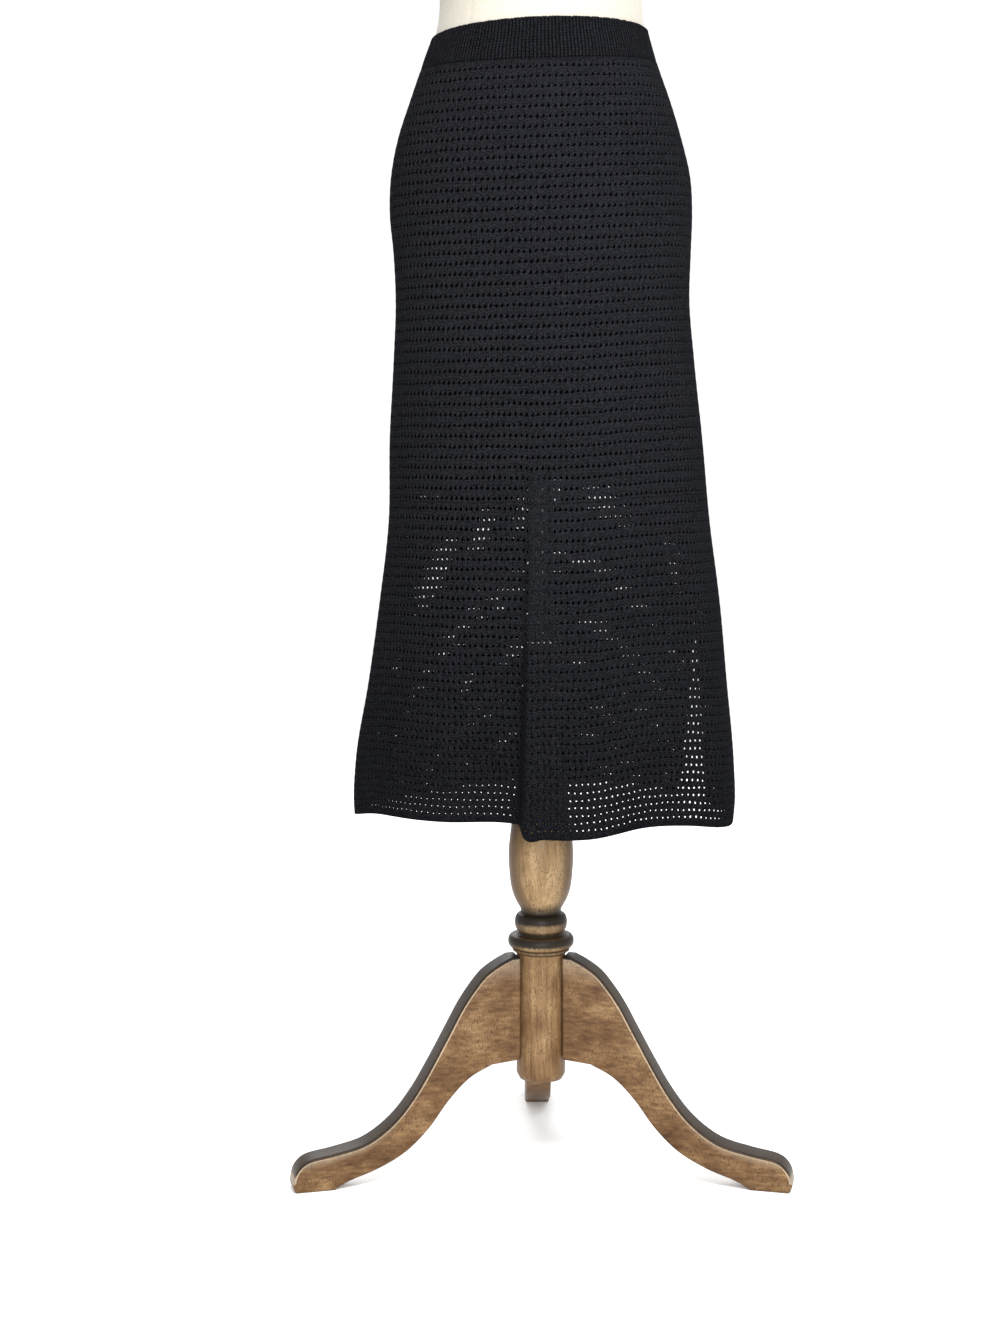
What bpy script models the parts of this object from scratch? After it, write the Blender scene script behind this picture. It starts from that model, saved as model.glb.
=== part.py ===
"""A net-knit midi skirt on a limbless dress form with a turned wooden tripod stand.

Metres, +Z up. The skirt's front faces -Y, and X runs to the viewer's right. Angles go round the pole
in degrees: 0 at the front, 90 at the right, 180 at the back and -90 at the left. The cloth is built
outward from the dress form's own sections, and below the form it hangs free of everything.
"""

import math

import bmesh
import bpy
import numpy as np

NAME = "midi_skirt_on_dress_form"

# Layers of cloth, counted outward from the dress form's surface at the waistband
GAP = 0.0003  # between pieces that are sewn, seated or stood on each other
CLEAR = 0.0004  # between the form and the cloth that it carries
LINING_WALL = 0.001
NET_WALL = 0.002
BAND_WALL = 0.0024  # a doubled rib, in its valleys
LINING_OUT = CLEAR + LINING_WALL
NET_OUT = LINING_OUT + GAP + NET_WALL
BAND_OUT = CLEAR + BAND_WALL
LOOSE = 0.0012  # the room that each layer gains just below the waistband
LOOSE_RUN = 0.05  # and how far down it takes to gain it
LINING_SWING = 0.010  # how far the lining's hem hangs in from the net

# Heights of the skirt, from the floor
BAND_TOP = 1.187
SEAM = 1.152  # where the waistband meets the panels, at the sides
SEAM_DIP = 0.008  # how much lower that seam is at the front
TILT = 0.035  # rise of the band and the seam, for each metre to the right
WAIST_HALF = 0.12  # half the width there
LINING_HEM = 0.722
HEM = 0.375  # mean height of the hem

# Rows of points, as drops below the waist seam. All layers share those over the hips, so that
# their facets nest
HIP_ROWS = (0.0, 0.02, 0.045, 0.075, 0.11, 0.15)
LINING_ROWS = (*HIP_ROWS, 0.195, 0.285)
NET_ROWS = (*HIP_ROWS, 0.195, 0.245, 0.295, 0.345, 0.395, 0.445, 0.495, 0.54, 0.585, 0.63, 0.67)
NET_ROWS = (*NET_ROWS, 0.71, 0.745, SEAM - HEM)

# Waistband ribs
RIBS = 200
RIB_RISE = 0.0008
BAND_EDGE = 0.0010  # rounding of the band's top edge
INNER_SHARE = 4  # points of the ribbed face for each point of the plain one

# Seams and the slit in the right one
SEAM_RIGHT = 117.0
SEAM_LEFT = -110.0
SLIT_TOP = 0.593
SLIT_SPREAD = 15.0  # degrees that the back panel's edge swings away at the hem

# The fold down the centre of the front: its right side stands forward, its left side hollows
FOLD_TOP = 0.93
FOLD_EDGE_TOP = -0.003
FOLD_EDGE_HEM = -0.018
FOLD_TURN = 0.010  # width of the strip that turns back beside the edge
FOLD_LIP = 0.015
FOLD_LIP_RUN = 0.070
FOLD_HOLLOW = 0.013
FOLD_HOLLOW_RUN = 0.045

WAVES_TOP = 0.85  # above this height the skirt has no waves
STEP = 6  # degrees between the points of every section
FOLD_STEP = 2  # and where the fold runs
FOLD_FROM, FOLD_TO = -18, 24

# Sections of the dress form, and below it the hang of the cloth, as reaches from the pole
# height, left, right, front, back
FIGURE = (
    (0.360, 0.1905, 0.1965, 0.1340, 0.1450),
    (0.385, 0.1925, 0.1990, 0.1345, 0.1455),
    (0.427, 0.1906, 0.1979, 0.1330, 0.1440),
    (0.511, 0.1769, 0.1906, 0.1270, 0.1370),
    (0.595, 0.1653, 0.1832, 0.1200, 0.1290),
    (0.679, 0.1559, 0.1727, 0.1140, 0.1220),
    (0.763, 0.1549, 0.1653, 0.1090, 0.1175),
    (0.847, 0.1507, 0.1566, 0.1050, 0.1150),
    (0.910, 0.1486, 0.1517, 0.1030, 0.1150),
    (0.960, 0.1510, 0.1532, 0.1035, 0.1185),
    (1.000, 0.1548, 0.1546, 0.1040, 0.1215),
    (1.036, 0.1538, 0.1528, 0.1035, 0.1210),
    (1.078, 0.1463, 0.1433, 0.1005, 0.1130),
    (1.120, 0.1328, 0.1307, 0.0965, 0.1020),
    (1.152, 0.1220, 0.1195, 0.0930, 0.0940),
    (1.187, 0.1105, 0.1095, 0.0890, 0.0865),
    (1.215, 0.1065, 0.1065, 0.0870, 0.0840),
    (1.255, 0.1090, 0.1090, 0.0900, 0.0845),
    (1.310, 0.1180, 0.1180, 0.1000, 0.0875),
    (1.360, 0.1285, 0.1285, 0.1140, 0.0915),
    (1.400, 0.1350, 0.1350, 0.1180, 0.0940),
    (1.450, 0.1420, 0.1420, 0.1060, 0.0945),
    (1.500, 0.1510, 0.1510, 0.0870, 0.0890),
    (1.532, 0.1550, 0.1550, 0.0740, 0.0815),
    (1.556, 0.1490, 0.1490, 0.0655, 0.0740),
    (1.576, 0.1270, 0.1270, 0.0590, 0.0665),
    (1.592, 0.0960, 0.0960, 0.0540, 0.0605),
    (1.608, 0.0680, 0.0680, 0.0505, 0.0560),
    (1.626, 0.0550, 0.0550, 0.0485, 0.0520),
    (1.660, 0.0520, 0.0520, 0.0480, 0.0500),
)

# Height of the hem round the skirt
# angle, height
HEM_LINE = (
    (-180, 0.3860),
    (-150, 0.3800),
    (-120, 0.3735),
    (-90, 0.3715),
    (-60, 0.3815),
    (-30, 0.3825),
    (-8, 0.3810),
    (0, 0.3690),
    (12, 0.3680),
    (30, 0.3755),
    (46, 0.3740),
    (62, 0.3680),
    (80, 0.3655),
    (95, 0.3690),
    (117, 0.3735),
    (150, 0.3840),
    (180, 0.3860),
)

# Soft upright waves in the lower skirt, full size at the hem
# angle, half width in degrees, how far out
WAVES = (
    (36, 13, -0.0060),
    (63, 12, 0.0045),
    (-36, 14, 0.0045),
    (-62, 13, -0.0040),
    (142, 12, 0.0060),
    (164, 13, -0.0080),
    (190, 13, 0.0080),
    (216, 12, -0.0060),
)

# Where the pole stands, so that the whole object's box is centred on the origin
AXIS_Y = -0.05564

# Dress form and stand
FORM_BOTTOM = 0.965
FORM_ROUND = 0.012  # rounding of the form's lower edge
NECK_TOP = 1.660
CAP_RADIUS = 0.055
CAP_HEIGHT = 0.026
PLATE_RADIUS = 0.048
PLATE_HEIGHT = 0.012
SOCKET_RADIUS = 0.021
SOCKET_BOTTOM = 0.925
SHAFT_RADIUS = 0.0135
COLLAR_RADIUS = 0.0205
COLLAR_TOP = 0.578
WOOD_TOP = 0.550
RING_UPPER = (0.258, 0.0275, 0.0095)  # height, radius, half height
RING_LOWER = (0.2355, 0.0345, 0.0098)
COLUMN_RADIUS = 0.0255
COLUMN_BOTTOM = 0.092
EASED = 0.003  # rounding of the stand's edges
TURNED_SIDES = 24

# The vase of the baluster, from its top down
# height, radius
VASE = (
    (0.550, 0.0172),
    (0.510, 0.0180),
    (0.468, 0.0197),
    (0.407, 0.0252),
    (0.358, 0.0314),
    (0.330, 0.0340),
    (0.301, 0.0322),
    (0.285, 0.0282),
    (0.272, 0.0212),
)

# A leg's outline: its upper edge outward from the column, then its sole and lower edge back
# distance from the pole, height
LEG_BOARD = 0.028
LEG_UPPER = (
    (0.0258, 0.2252),
    (0.0350, 0.2248),
    (0.0470, 0.2190),
    (0.0615, 0.2095),
    (0.0730, 0.1970),
    (0.0870, 0.1775),
    (0.1030, 0.1490),
    (0.1200, 0.1190),
    (0.1380, 0.0900),
    (0.1600, 0.0640),
    (0.1880, 0.0450),
    (0.2200, 0.0370),
    (0.2480, 0.0320),
    (0.2600, 0.0220),
    (0.2640, 0.0080),
    (0.2620, 0.0000),
)
LEG_LOWER = (
    (0.2220, 0.0000),
    (0.2060, 0.0080),
    (0.1760, 0.0180),
    (0.1470, 0.0330),
    (0.1230, 0.0550),
    (0.1020, 0.0820),
    (0.0800, 0.1030),
    (0.0560, 0.1150),
    (0.0258, 0.1180),
)
LEGS = (("leg_back", 180), ("leg_left", -75), ("leg_right", 75))


def read(table, at):
    """The columns of a table at one value of its first, on a smooth curve through its rows."""
    rows = np.array(table, float)
    keys, values = rows[:, 0], rows[:, 1:]
    slopes = np.gradient(values, keys, axis=0)
    i = int(np.clip(np.searchsorted(keys, at) - 1, 0, len(keys) - 2))
    span = keys[i + 1] - keys[i]
    t = min(max((at - keys[i]) / span, 0.0), 1.0)
    start = (2 * t**3 - 3 * t**2 + 1) * values[i] + (t**3 - 2 * t**2 + t) * span * slopes[i]
    end = (3 * t**2 - 2 * t**3) * values[i + 1] + (t**3 - t**2) * span * slopes[i + 1]
    return start + end


def ease(t):
    """0 to 1 with a soft start and end."""
    t = min(max(t, 0.0), 1.0)
    return t * t * (3 - 2 * t)


def fold_out(across, height):
    """How far the centre fold moves the cloth out, across metres to the right of its edge."""
    strength = max(FOLD_TOP - height, 0.0) ** 2 / (FOLD_TOP - HEM) ** 2
    if across >= 0:
        return strength * FOLD_LIP * math.exp(-((across / FOLD_LIP_RUN) ** 2))
    if across <= -FOLD_TURN:
        beyond = (across + FOLD_TURN) / FOLD_HOLLOW_RUN
        return -strength * FOLD_HOLLOW * math.exp(-(beyond**2))
    turned = ease(-across / FOLD_TURN)
    return strength * (FOLD_LIP * (1 - turned) - FOLD_HOLLOW * turned)


def waves_out(angle, height):
    """How far the soft waves move the cloth out."""
    strength = max(WAVES_TOP - height, 0.0) ** 1.5 / (WAVES_TOP - HEM) ** 1.5
    total = 0.0
    for centre, half_width, out in WAVES:
        off = (angle - centre + 180) % 360 - 180
        total += out * math.exp(-((off / half_width) ** 2))
    return strength * total


def section_point(angle, height, out=0.0, draped=False):
    """A point out metres outside the figure's section, with the cloth's fold and waves if draped."""
    left, right, front, back = read(FIGURE, height)
    turn = math.radians(angle)
    wide = (right if math.sin(turn) > 0 else left) + out
    deep = (front if math.cos(turn) > 0 else back) + out
    x, y = wide * math.sin(turn), -deep * math.cos(turn)
    if draped:
        move = waves_out(angle, height)
        if math.cos(turn) > 0:
            down = max(FOLD_TOP - height, 0.0) / (FOLD_TOP - HEM)
            edge = FOLD_EDGE_TOP + (FOLD_EDGE_HEM - FOLD_EDGE_TOP) * down
            move += fold_out(x - edge, height)
        facing = math.hypot(x / wide**2, y / deep**2)
        x += move * x / wide**2 / facing
        y += move * y / deep**2 / facing
    return (x, y, height)


def seam_height(angle):
    """The waistband's lower edge: lower at the front, and rising to the right."""
    turn = math.radians(angle)
    return SEAM - SEAM_DIP * max(math.cos(turn), 0.0) ** 2 + TILT * WAIST_HALF * math.sin(turn)


def band_height(angle):
    """The waistband's top edge."""
    return BAND_TOP + TILT * WAIST_HALF * math.sin(math.radians(angle))


def band_middle(angle):
    """Half way up the waistband."""
    return (band_height(angle) + seam_height(angle)) / 2


def hem_height(angle):
    """The height of the hem."""
    return float(read(HEM_LINE, (angle + 180) % 360 - 180)[0])


def row_height(angle, drop):
    """The height of a row of the cloth, drop metres below the waist seam."""
    down = drop / (SEAM - HEM)
    top_part = (seam_height(angle) - SEAM) * (1 - down**3)
    hem_part = (hem_height(angle) - HEM) * down**3
    return SEAM - drop + top_part + hem_part


def loosened(angle, height):
    """0 at the waist seam, 1 where the layers under the net hang fully loose."""
    return ease((seam_height(angle) - height) / LOOSE_RUN)


def angles_between(start, end):
    """Angles round the skirt every STEP degrees, closer where the fold is, and both ends."""
    inside = [float(a) for a in range(-720, 720, STEP) if start < a < end]
    if start < FOLD_FROM:
        inside += [float(a) for a in range(FOLD_FROM, FOLD_TO, FOLD_STEP) if a % STEP]
    return [start, *sorted(inside), end]


def finish(name, mesh, material, collection):
    """Put a mesh in the scene as one named piece with its material, standing on the pole's axis."""
    mesh.materials.append(material)
    piece = bpy.data.objects.new(name, mesh)
    piece.location = (0.0, AXIS_Y, 0.0)
    collection.objects.link(piece)
    return piece


def loft(name, rings, closed=True, capped=False):
    """A mesh whose faces join each ring of points to the next one down, facing outward."""
    bm = bmesh.new()
    rows = [[bm.verts.new(point) for point in ring] for ring in rings]
    for upper, lower in zip(rows, rows[1:]):
        count = len(upper)
        for i in range(count if closed else count - 1):
            j = (i + 1) % count
            bm.faces.new((lower[i], lower[j], upper[j], upper[i]))
    if capped:
        bm.faces.new(rows[0])
        bm.faces.new(rows[-1][::-1])
    mesh = bpy.data.meshes.new(name)
    bm.to_mesh(mesh)
    bm.free()
    return mesh


def thicken(piece, wall):
    """Give an open surface its wall, inward."""
    solidify = piece.modifiers.new("wall", "SOLIDIFY")
    solidify.thickness = wall
    solidify.offset = -1.0
    solidify.use_even_offset = True


def turned(name, profile, material, collection, sides=TURNED_SIDES):
    """A turned piece from its profile, (height, radius) from the top down, closed on the axis."""
    points = [(0.0, profile[0][0]), *((r, z) for z, r in profile), (0.0, profile[-1][0])]
    mesh = bpy.data.meshes.new(name)
    edges = [(i, i + 1) for i in range(len(points) - 1)]
    mesh.from_pydata([(r, 0.0, z) for r, z in points], edges, [])
    piece = finish(name, mesh, material, collection)
    screw = piece.modifiers.new("lathe", "SCREW")
    screw.steps = screw.render_steps = sides
    screw.use_merge_vertices = True
    screw.merge_threshold = 0.00001
    screw.use_smooth_shade = True
    return piece


def bead(height, radius, half, inner, count=7):
    """A half-round ring on a turned piece, from its top down."""
    turns = [math.pi * k / (count - 1) for k in range(count)]
    return [(height + half * math.cos(t), inner + (radius - inner) * math.sin(t)) for t in turns]


def make_panel(name, start, end, material, collection, slit=False):
    """One panel of the net between two angles, from the waist seam to the hem."""
    half_gap = math.degrees(0.7 * GAP / 0.150)  # wider outside, since both edges lean in
    columns = angles_between(start + half_gap, end - half_gap)
    rings = []
    for drop in NET_ROWS:
        ring = []
        for angle in columns:
            height = row_height(angle, drop) - (GAP if drop == 0 else 0)
            if slit:
                opened = max(SLIT_TOP - height, 0.0) / (SLIT_TOP - HEM)
                swing = SLIT_SPREAD * opened**1.3
                angle += swing * (end - angle) / (end - start)
            ring.append(section_point(angle, height, NET_OUT, draped=True))
        rings.append(ring)
    thicken(finish(name, loft(name, rings, closed=False), material, collection), NET_WALL)


def make_lining(material, collection):
    """The short lining, a tube that hangs from the waistband inside the net."""
    columns = range(0, 360, STEP)
    rings = []
    for drop in (*LINING_ROWS, None):
        ring = []
        for angle in columns:
            height = LINING_HEM if drop is None else row_height(angle, drop)
            height -= GAP if drop == 0 else 0
            below = max(FORM_BOTTOM - height, 0.0) / (FORM_BOTTOM - LINING_HEM)
            out = LINING_OUT - LOOSE * loosened(angle, height) - LINING_SWING * below**1.5
            ring.append(section_point(angle, height, out))
        rings.append(ring)
    thicken(finish("lining", loft("lining", rings), material, collection), LINING_WALL)


def make_waistband(material, collection):
    """The ribbed band: ribs raised on its outer face, plain inside."""
    fine = RIBS * 2
    coarse = fine // INNER_SHARE
    bm = bmesh.new()

    def ring(count, out, height_of, raised):
        points = []
        for k in range(count):
            angle = 360 * k / count
            rise = RIB_RISE if raised and k % 2 == 0 else 0.0
            points.append(bm.verts.new(section_point(angle, height_of(angle), out + rise)))
        return points

    def edge(angle):
        return band_height(angle) - BAND_EDGE

    low = ring(fine, BAND_OUT, seam_height, True)
    high = ring(fine, BAND_OUT, edge, True)
    lip = ring(fine, BAND_OUT - BAND_EDGE * 0.7, band_height, False)
    inner_high = ring(coarse, CLEAR, band_height, False)
    inner_middle = ring(coarse, CLEAR, band_middle, False)
    inner_low = ring(coarse, CLEAR, seam_height, False)
    strips = ((low, high), (high, lip), (inner_high, inner_middle), (inner_middle, inner_low))
    for lower, upper in strips:
        count = len(lower)
        for i in range(count):
            j = (i + 1) % count
            bm.faces.new((lower[i], lower[j], upper[j], upper[i]))
    for ribbed, plain, up in ((lip, inner_high, True), (low, inner_low, False)):
        for i in range(coarse):
            near, far = plain[i], plain[(i + 1) % coarse]
            run = [ribbed[(i * INNER_SHARE + k) % fine] for k in range(INNER_SHARE + 1)]
            middle = INNER_SHARE // 2
            corners = [(run[k], run[k + 1], near) for k in range(middle)]
            corners += [(run[k], run[k + 1], far) for k in range(middle, INNER_SHARE)]
            corners.append((near, run[middle], far))
            for a, b, c in corners:
                bm.faces.new((a, b, c) if up else (c, b, a))
    mesh = bpy.data.meshes.new("waistband")
    bm.to_mesh(mesh)
    bm.free()
    finish("waistband", mesh, material, collection)


def make_dress_form(material, collection):
    """The limbless torso: rounded under the hips, smooth up to its flat neck."""
    columns = range(0, 360, STEP)
    levels = [row[0] for row in reversed(FIGURE) if row[0] > BAND_TOP]
    rings = [[section_point(a, height) for a in columns] for height in levels]
    for height_of in (band_height, band_middle):
        rings.append([section_point(a, height_of(a)) for a in columns])
    for drop in HIP_ROWS:
        ring = []
        for a in columns:
            height = row_height(a, drop)
            ring.append(section_point(a, height, -2 * LOOSE * loosened(a, height)))
        rings.append(ring)
    for k in range(4):
        turn = math.pi / 2 * k / 3
        height = FORM_BOTTOM + FORM_ROUND * (1 - math.sin(turn))
        inset = -2 * LOOSE - FORM_ROUND * (1 - math.cos(turn))
        rings.append([section_point(a, height, inset) for a in columns])
    mesh = loft("dress_form", rings, capped=True)
    mesh.shade_smooth()
    finish("dress_form", mesh, material, collection)


def make_stand(wood, steel, collection):
    """Everything under the torso that is turned, and the cap on its neck."""
    cap_bottom = NECK_TOP + GAP
    turns = [math.pi / 2 * k / 5 for k in range(6)]
    cap = [
        (cap_bottom + EASED + (CAP_HEIGHT - EASED) * math.sin(t), max(CAP_RADIUS * math.cos(t), 0.001))
        for t in reversed(turns)
    ]
    turned("neck_cap", [*cap, (cap_bottom, CAP_RADIUS - EASED)], wood, collection)
    plate_top = FORM_BOTTOM - GAP
    plate_bottom = plate_top - PLATE_HEIGHT
    plate = [
        (plate_top, PLATE_RADIUS - EASED),
        (plate_top - EASED, PLATE_RADIUS),
        (plate_bottom + EASED, PLATE_RADIUS),
        (plate_bottom, PLATE_RADIUS - EASED),
        (plate_bottom, SOCKET_RADIUS + EASED),
        (plate_bottom - EASED, SOCKET_RADIUS),
        (SOCKET_BOTTOM + EASED, SOCKET_RADIUS),
        (SOCKET_BOTTOM, SOCKET_RADIUS - EASED),
    ]
    turned("form_base", plate, wood, collection)
    turned(
        "shaft",
        [(SOCKET_BOTTOM - GAP, SHAFT_RADIUS), (COLLAR_TOP + GAP, SHAFT_RADIUS)],
        steel,
        collection,
    )
    collar = [
        (COLLAR_TOP, COLLAR_RADIUS - EASED),
        (COLLAR_TOP - EASED, COLLAR_RADIUS),
        (WOOD_TOP + GAP + EASED, COLLAR_RADIUS),
        (WOOD_TOP + GAP, COLLAR_RADIUS - EASED),
    ]
    turned("collar", collar, steel, collection)
    vase = sorted(VASE)
    heights = [VASE[0][0] + (VASE[-1][0] - VASE[0][0]) * k / 16 for k in range(17)]
    profile = [(h, float(read(vase, h)[0])) for h in heights]
    profile += bead(*RING_UPPER, inner=VASE[-1][1])
    profile += bead(*RING_LOWER, inner=COLUMN_RADIUS)
    profile += [
        (COLUMN_BOTTOM + 3 * EASED, COLUMN_RADIUS),
        (COLUMN_BOTTOM + EASED, COLUMN_RADIUS - EASED),
        (COLUMN_BOTTOM, COLUMN_RADIUS / 2),
    ]
    turned("baluster", profile, wood, collection)


def make_leg(name, angle, material, collection):
    """One curved board of the tripod, its flat sole on the floor."""
    outline = [*LEG_UPPER, *LEG_LOWER]
    curve = bpy.data.curves.new(name + "_outline", "CURVE")
    curve.dimensions = "2D"
    curve.fill_mode = "BOTH"
    curve.extrude = LEG_BOARD / 2
    spline = curve.splines.new("POLY")
    spline.points.add(len(outline) - 1)
    spline.use_cyclic_u = True
    for point, (reach, height) in zip(spline.points, outline):
        point.co = (reach, height, 0.0, 1.0)
    flat = bpy.data.objects.new(name + "_outline", curve)
    collection.objects.link(flat)
    mesh = bpy.data.meshes.new_from_object(
        flat.evaluated_get(bpy.context.evaluated_depsgraph_get())
    )
    bpy.data.objects.remove(flat)
    mesh.name = name
    bm = bmesh.new()
    bm.from_mesh(mesh)
    bmesh.ops.remove_doubles(bm, verts=bm.verts, dist=0.00001)
    bm.to_mesh(mesh)
    bm.free()
    mesh.materials.clear()
    leg = finish(name, mesh, material, collection)
    leg.rotation_euler = (math.pi / 2, 0.0, math.radians(angle - 90))
    bevel = leg.modifiers.new("eased_edges", "BEVEL")
    bevel.width = EASED
    bevel.segments = 1
    bevel.limit_method = "ANGLE"
    bevel.angle_limit = math.radians(60)


def surface(name, colour, roughness, metallic=0.0):
    """A plain Principled material."""
    material = bpy.data.materials.new(name)
    material.use_nodes = True
    shader = material.node_tree.nodes["Principled BSDF"]
    shader.inputs["Base Color"].default_value = (*colour, 1.0)
    shader.inputs["Roughness"].default_value = roughness
    shader.inputs["Metallic"].default_value = metallic
    return material


def main():
    for old in list(bpy.data.objects):
        bpy.data.objects.remove(old, do_unlink=True)
    collection = bpy.data.collections.new(NAME)
    bpy.context.scene.collection.children.link(collection)
    net = surface("black_net_knit", (0.012, 0.014, 0.018), 0.9)
    rib = surface("black_rib_knit", (0.013, 0.015, 0.019), 0.9)
    jersey = surface("black_jersey", (0.006, 0.006, 0.008), 0.85)
    cover = surface("linen_cover", (0.62, 0.56, 0.47), 0.85)
    wood = surface("antiqued_wood", (0.30, 0.19, 0.09), 0.45)
    steel = surface("brushed_steel", (0.55, 0.54, 0.52), 0.35, 1.0)
    make_waistband(rib, collection)
    make_panel("front_panel", SEAM_LEFT, SEAM_RIGHT, net, collection)
    make_panel("back_panel", SEAM_RIGHT, SEAM_LEFT + 360, net, collection, slit=True)
    make_lining(jersey, collection)
    make_dress_form(cover, collection)
    make_stand(wood, steel, collection)
    for name, angle in LEGS:
        make_leg(name, angle, wood, collection)


main()
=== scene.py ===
"""The looks of a black net-knit midi skirt on a limbless dress form with a turned wooden stand."""

import math
from functools import partialmethod

import bmesh
import bpy
import numpy as np
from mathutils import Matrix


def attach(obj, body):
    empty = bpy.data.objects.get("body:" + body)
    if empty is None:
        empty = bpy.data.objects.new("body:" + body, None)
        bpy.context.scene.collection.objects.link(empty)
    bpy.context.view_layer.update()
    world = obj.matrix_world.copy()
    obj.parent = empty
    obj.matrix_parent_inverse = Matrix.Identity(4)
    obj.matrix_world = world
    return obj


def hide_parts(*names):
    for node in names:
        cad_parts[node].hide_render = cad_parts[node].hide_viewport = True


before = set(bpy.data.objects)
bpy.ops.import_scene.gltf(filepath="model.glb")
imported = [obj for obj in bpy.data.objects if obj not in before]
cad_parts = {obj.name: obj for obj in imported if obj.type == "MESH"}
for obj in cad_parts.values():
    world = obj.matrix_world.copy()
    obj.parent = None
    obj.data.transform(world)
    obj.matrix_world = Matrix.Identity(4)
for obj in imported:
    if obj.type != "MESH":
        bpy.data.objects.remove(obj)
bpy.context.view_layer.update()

# ----------------------------------------
# Studio: a level camera in front of the skirt, a wide white floor and even white light, with
# softboxes above the front right, behind the camera and high behind the skirt. The photo's
# optical axis lies above its middle, hence the camera's shift.
POLE_Y = -0.05564
CAMERA_AWAY = 2.10
CAMERA_LEFT = 0.043
CAMERA_HEIGHT = 0.716
PHOTO_HIGH = 1333
FOCAL_PIXELS = 2000
HORIZON_PIXEL = 485
FILM_LONG_SIDE = 36.0
SKY_STRENGTH = 1.04
FLOOR_RADIUS = 9.0
FLOOR_WHITE = (0.96, 0.96, 0.955, 1.0)

camera_data = bpy.data.cameras.new("photo_camera")
camera_data.sensor_width = FILM_LONG_SIDE
camera_data.lens = FOCAL_PIXELS / PHOTO_HIGH * FILM_LONG_SIDE
camera_data.shift_y = (HORIZON_PIXEL - PHOTO_HIGH / 2) / PHOTO_HIGH
camera = bpy.data.objects.new("photo_camera", camera_data)
camera.location = (-CAMERA_LEFT, POLE_Y - CAMERA_AWAY, CAMERA_HEIGHT)
camera.rotation_euler = (math.pi / 2, 0.0, 0.0)
bpy.context.scene.collection.objects.link(camera)
bpy.context.scene.camera = camera
bpy.context.scene.view_settings.view_transform = "Standard"


def soft_lamp(name, place, target, size, watts):
    """A square softbox that faces a point."""
    lamp = bpy.data.lights.new(name, "AREA")
    lamp.size = size
    lamp.energy = watts
    box = bpy.data.objects.new(name, lamp)
    box.location = place
    away = np.array(target) - np.array(place)
    box.rotation_euler = (
        math.atan2(math.hypot(away[0], away[1]), -away[2]),
        0.0,
        math.atan2(away[1], away[0]) - math.pi / 2,
    )
    bpy.context.scene.collection.objects.link(box)


soft_lamp("key_softbox", (0.50, -1.6, 2.35), (0.0, 0.0, 0.80), size=0.9, watts=80)
soft_lamp("fill_softbox", (0.05, -3.3, 0.80), (0.0, 0.0, 0.35), size=0.9, watts=85)
soft_lamp("rear_softbox", (-0.4, 2.6, 2.2), (0.0, 0.0, 0.80), size=1.6, watts=50)

world = bpy.data.worlds.new("white_studio")
world.use_nodes = True
sky = world.node_tree.nodes["Background"]
sky.inputs["Color"].default_value = (1.0, 1.0, 1.0, 1.0)
sky.inputs["Strength"].default_value = SKY_STRENGTH
bpy.context.scene.world = world

bpy.ops.mesh.primitive_circle_add(vertices=64, radius=FLOOR_RADIUS, fill_type="NGON")
floor = bpy.context.object
floor.name = "studio_floor"
floor_paint = bpy.data.materials.new("floor_paint")
floor_paint.use_nodes = True
floor_shader = floor_paint.node_tree.nodes["Principled BSDF"]
floor_shader.inputs["Base Color"].default_value = FLOOR_WHITE
floor_shader.inputs["Roughness"].default_value = 0.9
floor_shader.inputs["Specular IOR Level"].default_value = 0.2
floor.data.materials.append(floor_paint)

# ----------------------------------------
# Stand: three curved board legs round the column of one turned post, which goes on above them
# with two rings and a vase. Beech stained brown-gold, with a dark glaze wiped off all but the hollows and edges,
# and a painted shade on the vase up under the skirt and at the left and right of the vase and rings.
LEG_BOARD = 0.028
LEG_EASED = 0.003
LEG_CURVE_STEPS = 5  # points to each stretch of its curve
LEG_CORNER = 1.0  # radians, from which an edge is eased
LEG_CRISP = 38  # degrees, from which an edge looks crisp
LEG_TOP_EDGE = (
    (0.0258, 0.2252), (0.0350, 0.2248), (0.0470, 0.2190), (0.0615, 0.2095), (0.0730, 0.1970),
    (0.0870, 0.1775), (0.1030, 0.1490), (0.1200, 0.1190), (0.1380, 0.0900), (0.1600, 0.0640),
    (0.1880, 0.0450), (0.2200, 0.0370), (0.2480, 0.0320), (0.2600, 0.0220), (0.2640, 0.0080),
    (0.2620, 0.0000),
)
LEG_UNDER_EDGE = (
    (0.2220, 0.0000), (0.2060, 0.0080), (0.1760, 0.0180), (0.1470, 0.0330), (0.1230, 0.0550),
    (0.1020, 0.0820), (0.0800, 0.1030), (0.0560, 0.1150), (0.0258, 0.1180),
)
LEG_ANGLES = {"leg_back": 90, "leg_left": 195, "leg_right": 345}
LEG_GLAZE = ((0.226, 0.012, 0.5),)  # height, half width, darkness
WOOD_TOP = 0.550
# The post's stretches from its top down: height, radius
POST_TOP = ((WOOD_TOP, 0.0130), (WOOD_TOP, 0.0160), (WOOD_TOP - 0.0012, 0.0172))
VASE = (
    (0.550, 0.0172), (0.510, 0.0180), (0.468, 0.0197), (0.407, 0.0252), (0.358, 0.0314),
    (0.330, 0.0340), (0.301, 0.0322), (0.285, 0.0282), (0.272, 0.0212),
)
VASE_CURVE_STEPS = 7
BETWEEN_RINGS = ((0.2482, 0.0238), (0.2460, 0.0240))
UNDER_RINGS = (
    (0.2310, 0.0292), (0.2300, 0.0300), (0.2288, 0.0298), (0.2280, 0.0288), (0.2272, 0.0272),
    (0.2258, 0.0260),
)
UPPER_RING = (0.2580, 0.0275, 0.0095)  # height, radius, half height
LOWER_RING = (0.2386, 0.0345, 0.0070)
LOWER_RING_NECK = 0.0270
COLUMN_RADIUS = 0.0255
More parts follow.
